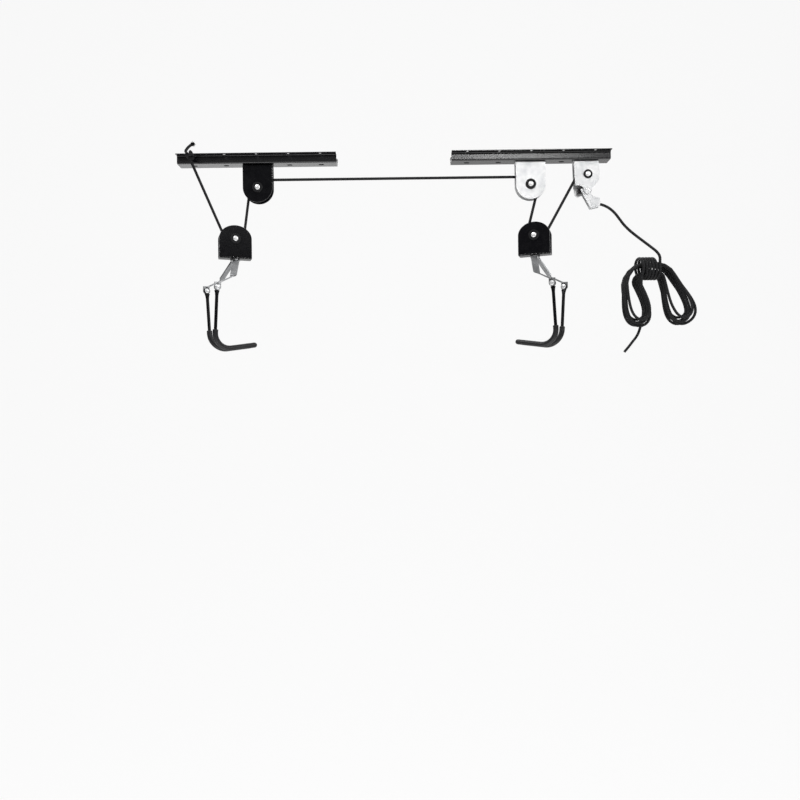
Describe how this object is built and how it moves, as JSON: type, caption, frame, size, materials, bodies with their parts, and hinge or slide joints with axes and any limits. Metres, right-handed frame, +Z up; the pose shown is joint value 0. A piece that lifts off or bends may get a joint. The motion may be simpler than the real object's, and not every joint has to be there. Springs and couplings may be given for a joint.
{
  "type": "bike ceiling hoist",
  "caption": "Ceiling hoist with two rails, rope sheaves, lifting blocks with swivelling rubber-coated hooks, and a rope lock.",
  "frame": {"origin": "centre of the rear rail's four screw holes, on the ceiling plane", "axes": "+X along the rails from the rear rail to the front rail, +Y away from the viewer, +Z up into the ceiling"},
  "size_m": [0.9757, 0.1108, 0.3817],
  "materials": {
    "black_coat": "black powder coat, semi-gloss, fine orange peel",
    "zinc": "bright zinc plating over rolled steel",
    "black_plastic": "moulded black nylon",
    "hook_rubber": "dipped black rubber, satin",
    "rope": "braided black polyester"
  },
  "bodies": {
    "hoist_frame": {"rear_rail": "black_coat", "front_rail": "black_coat", "rear_bracket": "black_coat", "front_bracket": "zinc", "lock_bracket": "zinc", "bracket_screws": "zinc", "bracket_nuts": "zinc", "rear_bracket_axle": "zinc", "front_bracket_axle": "zinc", "lock_axle": "zinc", "rear_bracket_washers": "black_plastic", "front_bracket_washers": "black_plastic", "lock_washers": "black_plastic", "bracket_spacers": "zinc", "lock_pivot_pin": "zinc", "anchor_knot": "rope", "anchor_leg": "rope", "rear_lift_leg": "rope", "cross_rope": "rope", "front_lift_leg": "rope", "lock_leg": "rope", "lock_rope": "rope", "rope_tail": "rope", "rope_hank": "rope"},
    "rear_sheave": {"rear_bracket_sheave": "black_plastic"},
    "front_sheave": {"front_bracket_sheave": "black_plastic"},
    "lock_wheel": {"lock_sheave": "black_plastic"},
    "lock_lever": {"lock_lever": "zinc", "lock_cam": "black_plastic"},
    "rear_block": {"rear_block_shell": "black_coat", "rear_block_axle": "zinc", "rear_block_washers": "black_plastic", "rear_block_spacers": "zinc", "rear_swivel_rivet": "zinc", "rear_block_rope": "rope"},
    "front_block": {"front_block_shell": "black_coat", "front_block_axle": "zinc", "front_block_washers": "black_plastic", "front_block_spacers": "zinc", "front_swivel_rivet": "zinc", "front_block_rope": "rope"},
    "rear_block_wheel": {"rear_block_sheave": "black_plastic"},
    "front_block_wheel": {"front_block_sheave": "black_plastic"},
    "rear_hook": {"rear_hanger": "zinc", "rear_hook_rivets": "zinc", "rear_hook_rods": "black_coat", "rear_hook_sleeves": "hook_rubber"},
    "front_hook": {"front_hanger": "zinc", "front_hook_rivets": "zinc", "front_hook_rods": "black_coat", "front_hook_sleeves": "hook_rubber"}
  },
  "joints": [
    {"name": "rear_lift", "type": "slide", "parent": "hoist_frame", "child": "rear_block", "axis": [0, 0, -1], "range_m": [0, 1.2], "deforming": ["anchor_leg", "rear_lift_leg"]},
    {"name": "front_lift", "type": "slide", "parent": "hoist_frame", "child": "front_block", "axis": [0, 0, -1], "range_m": [0, 1.2], "deforming": ["front_lift_leg", "lock_leg"]},
    {"name": "rear_sheave_spin", "type": "hinge", "parent": "hoist_frame", "child": "rear_sheave", "pos_m": [0, 0, -0.06], "axis": [0, 1, 0], "continuous": true},
    {"name": "front_sheave_spin", "type": "hinge", "parent": "hoist_frame", "child": "front_sheave", "pos_m": [0.516, 0, -0.06], "axis": [0, 1, 0], "continuous": true},
    {"name": "lock_wheel_spin", "type": "hinge", "parent": "hoist_frame", "child": "lock_wheel", "pos_m": [0.624, 0, -0.0425], "axis": [0, 1, 0], "continuous": true},
    {"name": "rear_block_spin", "type": "hinge", "parent": "rear_block", "child": "rear_block_wheel", "pos_m": [-0.046, 0, -0.157], "axis": [-0.342, 0.9397, 0], "continuous": true},
    {"name": "front_block_spin", "type": "hinge", "parent": "front_block", "child": "front_block_wheel", "pos_m": [0.524, 0, -0.157], "axis": [0.342, 0.9397, 0], "continuous": true},
    {"name": "rear_hook_swivel", "type": "hinge", "parent": "rear_block", "child": "rear_hook", "pos_m": [-0.046, 0, -0.194], "axis": [0, 0, 1], "continuous": true},
    {"name": "front_hook_swivel", "type": "hinge", "parent": "front_block", "child": "front_hook", "pos_m": [0.524, 0, -0.194], "axis": [0, 0, 1], "continuous": true},
    {"name": "lock_release", "type": "hinge", "parent": "hoist_frame", "child": "lock_lever", "pos_m": [0.6223, 0, -0.072], "axis": [0, 1, 0], "range_deg": [0, 12], "deforming": ["lock_rope"]}
  ],
  "couplings": [
    {"joint": "front_lift", "follows": "rear_lift", "ratio": 1},
    {"joint": "rear_block_spin", "follows": "rear_lift", "rad_per_m": 62.5},
    {"joint": "rear_sheave_spin", "follows": "rear_lift", "rad_per_m": -125},
    {"joint": "front_sheave_spin", "follows": "rear_lift", "rad_per_m": -125},
    {"joint": "front_block_spin", "follows": "rear_lift", "rad_per_m": 187.5},
    {"joint": "lock_wheel_spin", "follows": "rear_lift", "rad_per_m": -250}
  ]
}
